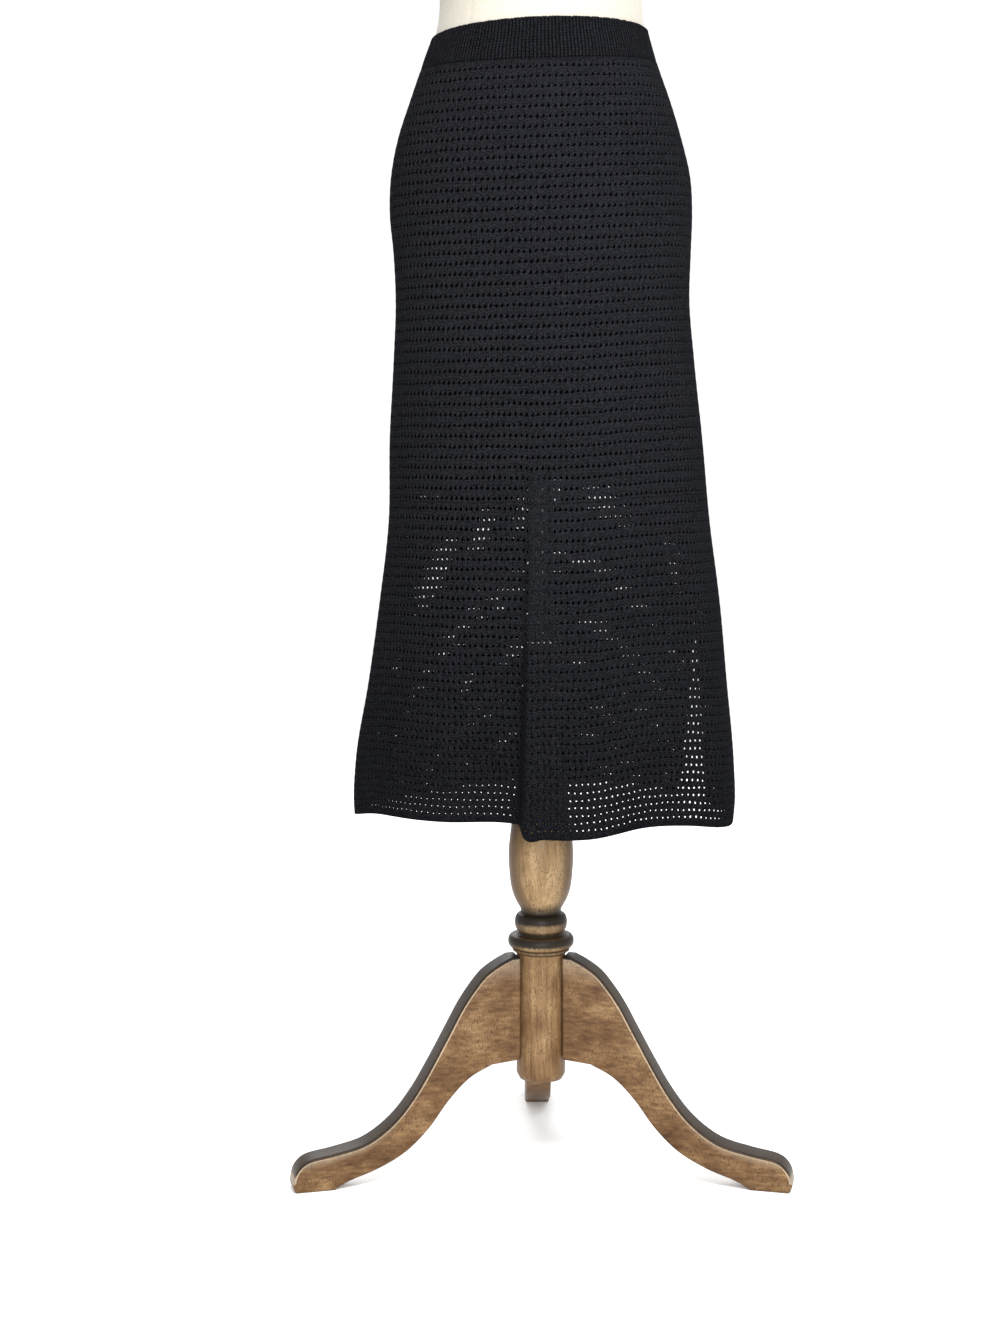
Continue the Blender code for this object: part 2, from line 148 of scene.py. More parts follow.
COLUMN_FOOT = 0.092
COLUMN_HEIGHTS = (0.224, 0.200, 0.160, 0.125, COLUMN_FOOT + 0.009)
BEAD_STEPS = 20
# The post's dark bands: height, half width, darkness. The first two are a painted shade on the vase, up under
# the skirt and about its hem; the rest are glaze on the rings and in the hollows round them.
POST_GLAZE_AND_SHADE = (
    (0.4750, 0.1350, 3.00), (0.3700, 0.0450, 0.35), (0.2685, 0.0130, 0.95),
    (0.2622, 0.0065, 1.40), (0.2545, 0.0050, 0.40), (0.2472, 0.0030, 0.90),
    (0.2405, 0.0070, 1.50), (0.2300, 0.0050, 0.45), (0.2268, 0.0014, 0.80),
)
# How much paler the post is; it also turns on a painted shade in brown at the left and right sides of the rings
# and vase
POST_PALE_SIDE_SHADE = 0.15
RINGS_BEGIN = (0.222, 0.234)  # the heights where the column ends and the rings begin
# The stain by its tone, dark to pale
STAIN = (
    (0.28, (0.042, 0.019, 0.007)),
    (0.44, (0.105, 0.056, 0.024)),
    (0.58, (0.190, 0.118, 0.056)),
    (0.76, (0.330, 0.225, 0.118)),
)
# The brown of the painted shade at the left and right sides of the rings and vase
SIDE_SHADE_BROWN = (0.072, 0.040, 0.018)
# The dark of the glaze, and of the painted shade on the vase under the skirt
GLAZE_AND_SHADE = (0.014, 0.0100, 0.0070)
WORN = (0.30, 0.25, 0.18)


class Strand:
    """One output of a shader node. Sums with + - * / add Math nodes to its tree."""

    def __init__(self, tree, socket=None):
        self.tree, self.socket = tree, socket

    def node(self, kind, settings, sockets, output=0):
        """Add a node: its settings first, then the values or strands of its sockets."""
        made = self.tree.nodes.new("ShaderNode" + kind)
        for key, value in settings.items():
            if key == "stops":
                ramp = made.color_ramp
                while len(ramp.elements) < len(value):
                    ramp.elements.new(0.5)
                for element, (place, colour) in zip(ramp.elements, value):
                    element.position = place
                    element.color = (*colour, 1.0)
            else:
                setattr(made, key, value)
        for key, value in sockets.items():
            if isinstance(value, Strand):
                self.tree.links.new(value.socket, made.inputs[key])
            else:
                made.inputs[key].default_value = value
        return Strand(self.tree, made.outputs[output])

    def maths(self, operation, other=0.0, clamp=False):
        """This strand through a Math node, such as SINE, with another or a value."""
        settings = {"operation": operation, "use_clamp": clamp}
        return self.node("Math", settings, {0: self, 1: other})

    __add__ = __radd__ = partialmethod(maths, "ADD")
    __sub__ = partialmethod(maths, "SUBTRACT")
    __mul__ = partialmethod(maths, "MULTIPLY")
    __truediv__ = partialmethod(maths, "DIVIDE")
    __abs__ = partialmethod(maths, "ABSOLUTE")

    def __rsub__(self, other):
        return self.node("Math", {"operation": "SUBTRACT"}, {0: other, 1: self})

    def clamped(self):
        """Kept between 0 and 1."""
        return self.maths("ADD", clamp=True)

    def between(self, low, high):
        """0 at low, 1 at high, smooth in between."""
        settings = {"interpolation_type": "SMOOTHSTEP"}
        return self.node("MapRange", settings, {"Value": self, "From Min": low, "From Max": high})

    def blend(self, low, high):
        """A colour between two others, by this strand."""
        low, high = ((*c, 1.0) if isinstance(c, tuple) else c for c in (low, high))
        return self.node("Mix", {"data_type": "RGBA"}, {0: self, 6: low, 7: high}, output=2)

    def part(self, axis):
        """One of a vector's X, Y and Z."""
        return self.node("SeparateXYZ", {}, {0: self}, output="XYZ".index(axis))

    def stretched(self, x, y, z):
        """A vector scaled along each axis."""
        return self.node("VectorMath", {"operation": "MULTIPLY"}, {0: self, 1: (x, y, z)})

    def noise(self, scale, detail=2.0, roughness=0.5):
        """Soft random patches, 0 to 1, at so many to the metre."""
        sockets = {"Vector": self, "Scale": scale, "Detail": detail, "Roughness": roughness}
        return self.node("TexNoise", {"normalize": True}, sockets)


def new_finish(name, roughness, metallic=0.0, sheen=0.0, specular=0.5):
    """A material with its even values set, and the piece's coordinates."""
    material = bpy.data.materials.new(name)
    material.use_nodes = True
    shader = material.node_tree.nodes["Principled BSDF"]
    shader.inputs["Roughness"].default_value = roughness
    shader.inputs["Metallic"].default_value = metallic
    shader.inputs["Sheen Weight"].default_value = sheen
    shader.inputs["Specular IOR Level"].default_value = specular
    start = Strand(material.node_tree)
    return material, start.node("TexCoord", {}, {}, output=3)


def finished(material, **strands):
    """Link strands to the shader's sockets, given with _ for each space."""
    shader = material.node_tree.nodes["Principled BSDF"]
    for name, strand in strands.items():
        strand.tree.links.new(strand.socket, shader.inputs[name.replace("_", " ")])
    return material


def bumped(height, distance):
    """A normal from a height strand, distance metres deep."""
    return height.node("Bump", {}, {"Height": height, "Distance": distance, "Strength": 1.0})


def antiqued_wood(name, glaze_and_shade_heights, grain_up=True, pale_side_shade=0.0):
    """Brown-gold stained wood: grain along the piece, dark bands near the given heights.

    The given heights hold (height, half width, darkness) for each band: glaze in a hollow, or a
    painted shade. A board's upward edge is glazed too, and its arris is worn. A paleness given
    makes the wood paler, more so from the rings up, where its left and right sides get a painted
    shade in brown.
    """
    material, place = new_finish(name, 0.42, specular=0.12)
    along = place.stretched(*((1.0, 1.0, 0.09) if grain_up else (0.25, 0.25, 1.0)))
    grain = along.noise(300.0, detail=5.0, roughness=0.65)
    streaks = along.noise(95.0, detail=3.0)
    patches = place.noise(24.0, detail=3.0, roughness=0.55)
    flecks = place.stretched(1.0, 1.0, 0.40).noise(780.0, detail=4.0, roughness=0.7)
    height = place.part("Z")
    from_rings = height.between(*RINGS_BEGIN)
    tone = grain * 0.46 + streaks * 0.20 + patches * 0.46 - 0.13
    tone = (tone + (from_rings + 0.5) * pale_side_shade).clamped()
    stain = tone.node("ValToRGB", {"stops": STAIN}, {"Fac": tone})
    glaze_and_shade = flecks.between(0.50, 0.66) * (0.35 + patches.between(0.38, 0.60) * 0.45)
    # Dark bands by height: glaze in the hollows, and a painted shade where a band stands for shadow
    for middle, half, dark in glaze_and_shade_heights:
        band = abs(height - middle) / half
        glaze_and_shade = glaze_and_shade + (1.0 - band.between(0.0, 1.0)) * dark
    faces = place.node("TexCoord", {}, {}, output=1)
    if pale_side_shade:
        # Painted shade: the left and right sides, from the rings up, turn brown
        aside = (1.0 - abs(faces.part("Y")).between(0.52, 1.0)) * from_rings * 0.88
        stain = aside.blend(stain, SIDE_SHADE_BROWN)
    if not grain_up:
        facing_up = faces.part("Z")
        worn = facing_up.between(0.03, 0.10) * (1.0 - facing_up.between(0.14, 0.26))
        chipped = flecks.between(0.36, 0.46) * 0.8
        stain = (worn * chipped).blend(stain, WORN)
        glaze_and_shade = glaze_and_shade + facing_up.between(0.16, 0.34) * 0.86 - worn * 0.5
    return finished(
        material,
        Base_Color=glaze_and_shade.clamped().blend(stain, GLAZE_AND_SHADE),
        Roughness=grain * 0.16 + glaze_and_shade.clamped() * 0.04 + 0.30,
        Normal=bumped(grain * 0.5 + flecks * 0.5, 0.0004),
    )


def curve_between(t, start, end, start_slope, end_slope):
    """A smooth curve, at start when t is 0 and at end when t is 1, with these slopes there."""
    leaving = (2 * t**3 - 3 * t**2 + 1) * start + (t**3 - 2 * t**2 + t) * start_slope
    arriving = (3 * t**2 - 2 * t**3) * end + (t**3 - t**2) * end_slope
    return leaving + arriving


def smooth_line(points, steps):
    """A soft curve through points, so many steps to each stretch."""
    line = np.array(points, float)
    slopes = np.gradient(line, axis=0)
    curve = []
    for i in range(len(line) - 1):
        for k in range(steps):
            curve.append(curve_between(k / steps, line[i], line[i + 1], slopes[i], slopes[i + 1]))
    curve.append(line[-1])
    return [tuple(p) for p in curve]


def place_piece(name, mesh, finish, slot, *nodes):
    """Put a finished mesh on the object, in the place of its CAD nodes."""
    mesh.materials.append(finish)
    piece = bpy.data.objects.new(name, mesh)
    bpy.context.scene.collection.objects.link(piece)
    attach(piece, "root")
    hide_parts(*nodes)
    return piece


def turned_piece(name, profile, finish, slot, node, sides=96):
    """A turned solid on the pole: profile is (height, radius) from the top down."""
    turns = 2 * math.pi * np.arange(sides) / sides
    bm = bmesh.new()
    rings = []
    for height, radius in profile:
        ring = [
            bm.verts.new((radius * math.cos(t), POLE_Y + radius * math.sin(t), height))
            for t in turns
        ]
        rings.append(ring)
    for upper, lower in zip(rings, rings[1:]):
        for i in range(sides):
            j = (i + 1) % sides
            bm.faces.new((lower[i], lower[j], upper[j], upper[i])).smooth = True
    bm.faces.new(rings[0])
    bm.faces.new(rings[-1][::-1])
    mesh = bpy.data.meshes.new(name)
    bm.to_mesh(mesh)
    bm.free()
    place_piece(name, mesh, finish, slot, node)


def bead(height, radius, half, inner, squareness):
    """A rounded ring on a turned piece, from its top down."""
    turns = [math.pi * k / BEAD_STEPS for k in range(BEAD_STEPS + 1)]
    return [
        (height + half * math.cos(t), inner + (radius - inner) * math.sin(t) ** squareness)
        for t in turns
    ]


post_profile = [
    *POST_TOP,
    *smooth_line(VASE, VASE_CURVE_STEPS)[1:],
    *bead(*UPPER_RING, inner=VASE[-1][1], squareness=0.75),
    *BETWEEN_RINGS,
    *bead(*LOWER_RING, inner=LOWER_RING_NECK, squareness=0.6),
    *UNDER_RINGS,
    *((height, COLUMN_RADIUS) for height in COLUMN_HEIGHTS),
    (COLUMN_FOOT + 0.003, 0.0225),
    (COLUMN_FOOT, 0.0128),
]
post_wood = antiqued_wood("post_wood", POST_GLAZE_AND_SHADE, pale_side_shade=POST_PALE_SIDE_SHADE)
turned_piece("turned_post", post_profile, post_wood, "antiqued_wood", "baluster")


def curved_leg(name, angle, wood):
    """One leg: a board sawn to its curve, its edges eased."""
    upper = smooth_line(LEG_TOP_EDGE[1:-1], LEG_CURVE_STEPS)
    under = smooth_line(LEG_UNDER_EDGE[:-1], LEG_CURVE_STEPS)
    outline = [LEG_TOP_EDGE[0], *upper, LEG_TOP_EDGE[-1], *under, LEG_UNDER_EDGE[-1]]
    turn = math.radians(angle)
    out = np.array((math.cos(turn), math.sin(turn), 0.0))
    side = np.array((-math.sin(turn), math.cos(turn), 0.0))
    pole = np.array((0.0, POLE_Y, 0.0))
    bm = bmesh.new()
    faces = []
    for across in (-LEG_BOARD / 2, LEG_BOARD / 2):
        points = [pole + out * r + side * across + np.array((0, 0, z)) for r, z in outline]
        faces.append([bm.verts.new(p) for p in points])
    near, far = faces
    bm.faces.new(near)
    bm.faces.new(far[::-1])
    for i in range(len(outline)):
        j = (i + 1) % len(outline)
        bm.faces.new((near[j], near[i], far[i], far[j]))
    bmesh.ops.recalc_face_normals(bm, faces=bm.faces)
    rims = [e for e in bm.edges if len(e.link_faces) == 2 and e.calc_face_angle() > LEG_CORNER]
    bmesh.ops.bevel(bm, geom=rims, offset=LEG_EASED, segments=3, profile=0.6, affect="EDGES")
    bmesh.ops.triangulate(bm, faces=[f for f in bm.faces if len(f.verts) > 4])
    mesh = bpy.data.meshes.new(name)
    bm.to_mesh(mesh)
    bm.free()
    mesh.shade_smooth()
    mesh.set_sharp_from_angle(angle=math.radians(LEG_CRISP))
    place_piece(name.replace("leg_", "curved_leg_"), mesh, wood, "antiqued_wood", name)


leg_wood = antiqued_wood("leg_wood", LEG_GLAZE, grain_up=False)
for leg_name, leg_angle in LEG_ANGLES.items():
    curved_leg(leg_name, leg_angle, leg_wood)

# ----------------------------------------
# Steel: the shaft that carries the form, and the clamp collar where it leaves the wood. Both
# are turned and brushed round the bar, and the collar has a groove round its middle.
SHAFT_RADIUS = 0.0135
SHAFT_STEPS = 8
COLLAR_RADIUS = 0.0205
COLLAR_GROOVE = 0.0196
COLLAR_TOP = 0.578
SOCKET_BOTTOM = 0.925
SEAT = 0.0003  # the gap between pieces that rest on each other
# Darker than bare steel: a painted shade for the shaft and collar, which stand inside the skirt
STEEL_DARK = (0.22, 0.215, 0.21)
STEEL_LIGHT = (0.36, 0.355, 0.345)


def brushed_steel():
    """Steel with fine rings round the bar."""
    material, place = new_finish("brushed_steel", 0.3, metallic=1.0)
    rings = place.stretched(0.15, 0.15, 6.0).noise(420.0, detail=3.0, roughness=0.6)
    smears = place.noise(30.0, detail=3.0)
    return finished(
        material,
        Base_Color=smears.blend(STEEL_DARK, STEEL_LIGHT),
        Roughness=rings * 0.20 + smears * 0.12 + 0.16,
        Normal=bumped(rings, 0.00005),
    )


steel = brushed_steel()
straight = SOCKET_BOTTOM - COLLAR_TOP - 0.0025
shaft_profile = [
    (SOCKET_BOTTOM - SEAT, SHAFT_RADIUS - 0.0008),
    *(
        (SOCKET_BOTTOM - 0.0012 - straight * k / SHAFT_STEPS, SHAFT_RADIUS)
        for k in range(SHAFT_STEPS + 1)
    ),
    (COLLAR_TOP + SEAT, SHAFT_RADIUS - 0.0006),
]
turned_piece("steel_shaft", shaft_profile, steel, "steel", "shaft", sides=64)
collar_profile = [
    (COLLAR_TOP, SHAFT_RADIUS + 0.0015),
    (COLLAR_TOP, COLLAR_RADIUS - 0.0030),
    (COLLAR_TOP - 0.0010, COLLAR_RADIUS - 0.0010),
    (0.5750, COLLAR_RADIUS),
    (0.5690, COLLAR_RADIUS),
    (0.5680, COLLAR_GROOVE),
    (0.5655, COLLAR_GROOVE),
    (0.5645, COLLAR_RADIUS),
    (0.5533, COLLAR_RADIUS),
    (0.5515, 0.0197),
    (WOOD_TOP + SEAT, 0.0176),
]
turned_piece("clamp_collar", collar_profile, steel, "steel", "collar", sides=72)

# ----------------------------------------
# Dress form: a padded shell without limbs, covered in smooth pale cloth with sewn seams down the
# middle, the princess lines and the sides. Under it is a turned plate, on its neck a turned cap.
FORM_BOTTOM = 0.965
FORM_ROUND = 0.012
NECK_TOP = 1.660
CAP_RADIUS = 0.055
CAP_HEIGHT = 0.026
CAP_RIM = 0.006  # its straight side, under the dome
PLATE_RADIUS = 0.048
PLATE_HEIGHT = 0.012
PLATE_COVE = 0.004
SOCKET_RADIUS = 0.021
COVER_SEAMS = (0, -42, 42, -90, 90, -140, 140, 180)  # degrees round, 0 at the front
COVER_SEAM_DEPTH = 0.0006
COVER_SEAM_HALF = 0.0016
COVER_DARK = (0.29, 0.268, 0.225)
COVER_LIGHT = (0.35, 0.328, 0.285)
# How far the figure reaches from the pole. Under the form it is the line that the cloth hangs on
# height, left, right, front, back
FIGURE = (
    (0.360, 0.1905, 0.1965, 0.1340, 0.1450),
    (0.385, 0.1925, 0.1990, 0.1345, 0.1455),
    (0.427, 0.1906, 0.1979, 0.1330, 0.1440),
    (0.511, 0.1769, 0.1906, 0.1270, 0.1370),
    (0.595, 0.1653, 0.1832, 0.1200, 0.1290),
    (0.679, 0.1559, 0.1727, 0.1140, 0.1220),
    (0.763, 0.1549, 0.1653, 0.1090, 0.1175),
    (0.847, 0.1507, 0.1566, 0.1050, 0.1150),
    (0.910, 0.1486, 0.1517, 0.1030, 0.1150),
    (0.960, 0.1510, 0.1532, 0.1035, 0.1185),
    (1.000, 0.1548, 0.1546, 0.1040, 0.1215),
    (1.036, 0.1538, 0.1528, 0.1035, 0.1210),
    (1.078, 0.1463, 0.1433, 0.1005, 0.1130),
    (1.120, 0.1328, 0.1307, 0.0965, 0.1020),
    (1.152, 0.1220, 0.1195, 0.0930, 0.0940),
    (1.187, 0.1105, 0.1095, 0.0890, 0.0865),
    (1.215, 0.1065, 0.1065, 0.0870, 0.0840),
    (1.255, 0.1090, 0.1090, 0.0900, 0.0845),
    (1.310, 0.1180, 0.1180, 0.1000, 0.0875),
    (1.360, 0.1285, 0.1285, 0.1140, 0.0915),
    (1.400, 0.1350, 0.1350, 0.1180, 0.0940),
    (1.450, 0.1420, 0.1420, 0.1060, 0.0945),
    (1.500, 0.1510, 0.1510, 0.0870, 0.0890),
    (1.532, 0.1550, 0.1550, 0.0740, 0.0815),
    (1.556, 0.1490, 0.1490, 0.0655, 0.0740),
    (1.576, 0.1270, 0.1270, 0.0590, 0.0665),
    (1.592, 0.0960, 0.0960, 0.0540, 0.0605),
    (1.608, 0.0680, 0.0680, 0.0505, 0.0560),
    (1.626, 0.0550, 0.0550, 0.0485, 0.0520),
    (1.660, 0.0520, 0.0520, 0.0480, 0.0500),
)
BAND_TOP = 1.187  # the waistband's top edge, at the front
SEAM = 1.152  # the waist seam, at the sides
SEAM_DIP = 0.008  # how far it dips at the front
TILT = 0.035  # how steeply both rise to the right
WAIST_HALF = 0.12
HEM = 0.375
LOOSE = 0.0012  # how much looser than the layer inside it each layer is, below the waist
LOOSE_RUN = 0.05


def read(table, at):
    """Columns of a table at many values of its first, on smooth curves through its rows."""
    rows = np.array(table, float)
    keys, values = rows[:, 0], rows[:, 1:]
    slopes = np.gradient(values, keys, axis=0)
    at = np.atleast_1d(np.asarray(at, float))
    i = np.clip(np.searchsorted(keys, at) - 1, 0, len(keys) - 2)
    span = (keys[i + 1] - keys[i])[:, None]
    t = np.clip((at[:, None] - keys[i][:, None]) / span, 0.0, 1.0)
    return curve_between(t, values[i], values[i + 1], span * slopes[i], span * slopes[i + 1])


def degrees_from(centre, angle):
    """How far an angle lies from a centre, -180 to 180."""
    return (angle - centre + 180) % 360 - 180


def ease(t):
    """0 to 1 with a soft start and end."""
    t = np.clip(t, 0.0, 1.0)
    return t * t * (3 - 2 * t)


def section(angle, height, out, move=None):
    """Points out metres from the figure's sections; move pushes them on along the section."""
    left, right, front, back = read(FIGURE, height).T
    turn = np.radians(angle)
    wide = np.where(np.sin(turn) > 0, right, left) + out
    deep = np.where(np.cos(turn) > 0, front, back) + out
    x, y = wide * np.sin(turn), -deep * np.cos(turn)
    if move is not None:
        push = move(angle, height, x)
        facing = np.hypot(x / wide**2, y / deep**2)
        x, y = x + push * x / wide**2 / facing, y + push * y / deep**2 / facing
    return np.stack([x, y + POLE_Y, np.broadcast_to(height, x.shape)], axis=1)


def seam_height(angle):
    """The waist seam dips at the front and rises to the right."""
    turn = np.radians(angle)
    dip = SEAM_DIP * np.maximum(np.cos(turn), 0.0) ** 2
    return SEAM - dip + TILT * WAIST_HALF * np.sin(turn)


def band_height(angle):
    """The waistband's top edge."""
    return BAND_TOP + TILT * WAIST_HALF * np.sin(np.radians(angle))


def band_level(angle, share):
    """A height on the waistband: share is 0 at its top edge and 1 at the waist seam."""
    return band_height(angle) * (1 - share) + seam_height(angle) * share


def tube_mesh(name, rows, closed_along=False, caps=False):
    """A smooth tube from rows of points, each once round, from the top down."""
    points = np.array(rows)
    index = np.arange(points.shape[0] * points.shape[1]).reshape(points.shape[:2])
    if closed_along:
        index = np.vstack([index, index[:1]])
    upper, lower = index[:-1], index[1:]
    quads = [lower, np.roll(lower, -1, 1), np.roll(upper, -1, 1), upper]
    faces = np.stack(quads, axis=-1).reshape(-1, 4).tolist()
    if caps:
        faces += [index[0].tolist(), index[-1][::-1].tolist()]
    mesh = bpy.data.meshes.new(name)
    mesh.from_pydata(points.reshape(-1, 3).tolist(), [], faces)
    mesh.shade_smooth()
    return mesh


def cover_cloth():
    """Smooth pale cover cloth: a fine plain weave with faint slubs."""
    material, place = new_finish("cover_cloth", 0.85, sheen=0.15, specular=0.2)
    slubs = place.stretched(1.0, 1.0, 0.12).noise(900.0, detail=3.0, roughness=0.6)
    cross = place.stretched(0.15, 0.15, 1.0).noise(1100.0, detail=2.0, roughness=0.6)
    patches = place.noise(9.0, detail=3.0)
    tone = (slubs * 0.35 + cross * 0.35 + patches * 0.30).clamped()
    return finished(
        material,
        Base_Color=tone.between(0.3, 0.7).blend(COVER_DARK, COVER_LIGHT),
        Normal=bumped(slubs * 0.5 + cross * 0.5, 0.00025),
    )


cover_angles = np.arange(0.0, 360.0, 1.5)


def even(value):
    """The same value at each of the cover's angles."""
    return np.full(cover_angles.shape, value)


# Heights and distances out of the cover's rows: neck, torso, waistband, hips and rounded bottom
cover_rows = [(even(NECK_TOP), even(-0.0015))]
for height in np.linspace(NECK_TOP - 0.0015, BAND_TOP + 0.012, 96):
    cover_rows.append((even(height), even(0.0)))
for share in np.linspace(0.0, 1.0, 8):
    cover_rows.append((band_level(cover_angles, share), even(0.0)))
for drop in np.linspace(0.006, 0.165, 22):
    loosened = -2 * LOOSE * ease(drop / LOOSE_RUN)
    cover_rows.append((seam_height(cover_angles) - drop, even(loosened)))
for turn in np.linspace(0.0, math.pi / 2, 8):
    height = FORM_BOTTOM + FORM_ROUND * (1 - math.sin(turn))
    inset = -2 * LOOSE - FORM_ROUND * (1 - math.cos(turn))
    cover_rows.append((even(height), even(inset)))
groove = even(0.0)
for seam_angle in COVER_SEAMS:
    off = np.radians(degrees_from(seam_angle, cover_angles)) * WAIST_HALF
    groove += np.exp(-((off / COVER_SEAM_HALF) ** 2))
groove *= COVER_SEAM_DEPTH
cover_points = [section(cover_angles, heights, outs - groove) for heights, outs in cover_rows]
form_mesh = tube_mesh("form_cover", cover_points, caps=True)
form_piece = place_piece("form_cover", form_mesh, cover_cloth(), "form_cover", "dress_form")

cap_low = NECK_TOP + SEAT
dome_low, dome_high = cap_low + CAP_RIM, CAP_HEIGHT - CAP_RIM
cap_profile = [
    (dome_low + dome_high * math.sin(t), max(CAP_RADIUS * math.cos(t), 0.0006))
    for t in np.linspace(math.pi / 2, 0.0, 22)
]
cap_profile += [(cap_low + 0.0030, CAP_RADIUS), (cap_low + 0.0008, CAP_RADIUS - 0.0010)]
cap_profile += [(cap_low, CAP_RADIUS - 0.0030)]
# One wood for the cap and the plate, glazed under the rim of each
turned_wood = antiqued_wood("cap_wood", ((cap_low + 0.003, 0.004, 0.6), (0.9527, 0.004, 0.8)))
turned_piece("turned_cap", cap_profile, turned_wood, "antiqued_wood", "neck_cap")
plate_top = FORM_BOTTOM - SEAT
plate_low = plate_top - PLATE_HEIGHT
plate_ring = (plate_top - PLATE_HEIGHT / 2, PLATE_RADIUS, PLATE_HEIGHT / 2 - 0.0005)
plate_profile = [
    (plate_top, PLATE_RADIUS - 0.0030),
    *bead(*plate_ring, inner=PLATE_RADIUS - 0.002, squareness=0.7),
    (plate_low, PLATE_RADIUS - 0.004),
    (plate_low, SOCKET_RADIUS + PLATE_COVE),
    *(
        (plate_low - PLATE_COVE * (1 - math.cos(t)), SOCKET_RADIUS + PLATE_COVE * (1 - math.sin(t)))
        for t in np.linspace(0.0, math.pi / 2, 7)
    ),
    (SOCKET_BOTTOM + 0.002, SOCKET_RADIUS),
    (SOCKET_BOTTOM, SOCKET_RADIUS - 0.003),
]
turned_piece("socket_plate", plate_profile, turned_wood, "antiqued_wood", "form_base")

# ----------------------------------------
# Lining: a plain tube of fine black jersey to mid thigh, sewn in at the waist seam. It is cut
# straight, so that it hangs a little inside the net, with a narrow stitched hem.
CLEAR = 0.0004
LINING_WALL = 0.001
LINING_OUT = CLEAR + LINING_WALL
LINING_HEM = 0.722
LINING_SWING = 0.010
LINING_HEM_DEEP = 0.014
LINING_HEM_OUT = 0.0004  # how far the turned hem stands out
LINING_WAVE = 0.0018
LEVEL_FROM, LEVEL_RUN = 0.19, 0.22  # the drops over which its rows turn level
JERSEY_DARK = (0.0012, 0.0013, 0.0016)
JERSEY_LIGHT = (0.0022, 0.0024, 0.0028)


def black_jersey():
    """Fine black jersey: small upright loops, no shine."""
    material, place = new_finish("black_jersey", 1.0, specular=0.02)
    loops = place.stretched(1.0, 1.0, 0.3).noise(1500.0)
    worn = place.noise(14.0)
    return finished(
        material,
        Base_Color=worn.blend(JERSEY_DARK, JERSEY_LIGHT),
        Normal=bumped(loops, 0.0002),
    )


lining_angles = np.arange(0.0, 360.0, 2.5)
lining_drops = np.concatenate([
    np.linspace(0.0, LEVEL_FROM, 20),
    np.linspace(0.20, LEVEL_FROM + LEVEL_RUN, 22),
    [SEAM - LINING_HEM],
])


def lining_row(drop, inside):
    """One row of the lining's outer or inner face."""
    top = seam_height(lining_angles) - SEAT
    level = ease((drop - LEVEL_FROM) / LEVEL_RUN)
    height = (top - drop) * (1 - level) + (SEAM - drop) * level
    height = np.maximum(height, LINING_HEM)
    below = np.maximum(FORM_BOTTOM - height, 0.0) / (FORM_BOTTOM - LINING_HEM)
    loosened = ease((top - height) / LOOSE_RUN)
    out = LINING_OUT - LOOSE * loosened - LINING_SWING * below**1.5
    sway = LINING_WAVE * below**2 * np.sin(np.radians(lining_angles * 7 + 40))
    hemmed = LINING_HEM_OUT * ease((LINING_HEM + LINING_HEM_DEEP - height) / 0.001)
    return section(lining_angles, height, out + sway + hemmed - (LINING_WALL if inside else 0.0))


lining_points = [lining_row(drop, False) for drop in lining_drops]
lining_points += [lining_row(drop, True) for drop in lining_drops[::-1]]
lining_mesh = tube_mesh("jersey_lining", lining_points, closed_along=True)
lining_piece = place_piece(
    "jersey_lining", lining_mesh, black_jersey(), "lining_jersey", "lining"
)

# ----------------------------------------
# Waistband: a doubled tube of one-by-one rib in matte black yarn, joined to the net's top edge.
# Each rib stands up as a round ridge and ends as a small bump at the folded top edge.
BAND_WALL = 0.0024
BAND_OUT = CLEAR + BAND_WALL
RIBS = 200
RIB_RISE = 0.0008
RIB_POINTS = 6
BAND_ROWS = 16
BAND_STITCHES = 14  # from its top edge to the waist seam
BAND_FOLD = 0.0012  # height of the rounded fold at its top edge
BAND_FULL = 0.0005  # how far its middle stands out
BAND_DRAWN = 0.0004  # how far the waist seam draws it in
YARN_DARK = (0.0016, 0.0018, 0.0025)
YARN_LIGHT = (0.0168, 0.0174, 0.0208)
# Painted shade deep in the holes, on the inner face and between the ribs
YARN_HOLE_SHADE = (0.0004, 0.0004, 0.0005)
# A painted shade: the yarn grows darker toward the hem, where less light reaches
HEM_SHADE_FROM, HEM_SHADE_TO, HEM_SHADE = 25.0, 85.0, 0.16  # rows between which the yarn grows darker


def lay_coords(mesh, coords, layer_name):
    """Give each corner of a mesh its point's place in the knit, or its depth, as a UV map."""
    corner = np.zeros(len(mesh.loops), np.int32)
    mesh.loops.foreach_get("vertex_index", corner)
    layer = mesh.uv_layers.new(name=layer_name)
    layer.uv.foreach_set("vector", np.asarray(coords, np.float32)[corner].ravel())


